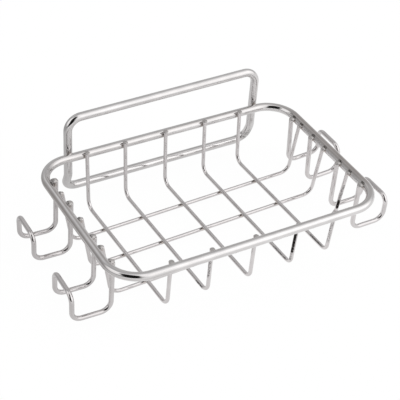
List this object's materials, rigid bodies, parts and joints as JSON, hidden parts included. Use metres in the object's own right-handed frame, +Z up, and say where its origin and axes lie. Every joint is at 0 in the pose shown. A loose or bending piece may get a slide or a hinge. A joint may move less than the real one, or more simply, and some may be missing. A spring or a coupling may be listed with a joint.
{
  "type": "wire soap shelf",
  "caption": "Welded stainless steel wire soap basket with a rounded rim, an upright hanging loop at the back and double hooks below each short side",
  "frame": {"origin": "the underside of the hanging loop's top bar, halfway along the rim, where a wall holder carries the shelf", "axes": "+X to the right along the shelf, +Y back towards the wall, +Z up"},
  "size_m": [0.1841, 0.1118, 0.0573],
  "materials": {
    "rim_steel": "bright polished stainless wire",
    "basket_steel": "bright polished stainless wire, slightly duller",
    "hook_steel": "bright polished stainless wire"
  },
  "bodies": {
    "root": {"rim_frame": "rim_steel", "hanging_loop": "rim_steel", "cross_wire_1": "basket_steel", "cross_wire_2": "basket_steel", "cross_wire_3": "basket_steel", "cross_wire_4": "basket_steel", "cross_wire_5": "basket_steel", "long_wire_back": "basket_steel", "long_wire_middle": "basket_steel", "long_wire_front": "basket_steel", "side_hook_left_back": "hook_steel", "side_hook_left_front": "hook_steel", "side_hook_right_back": "hook_steel", "side_hook_right_front": "hook_steel"}
  },
  "joints": []
}
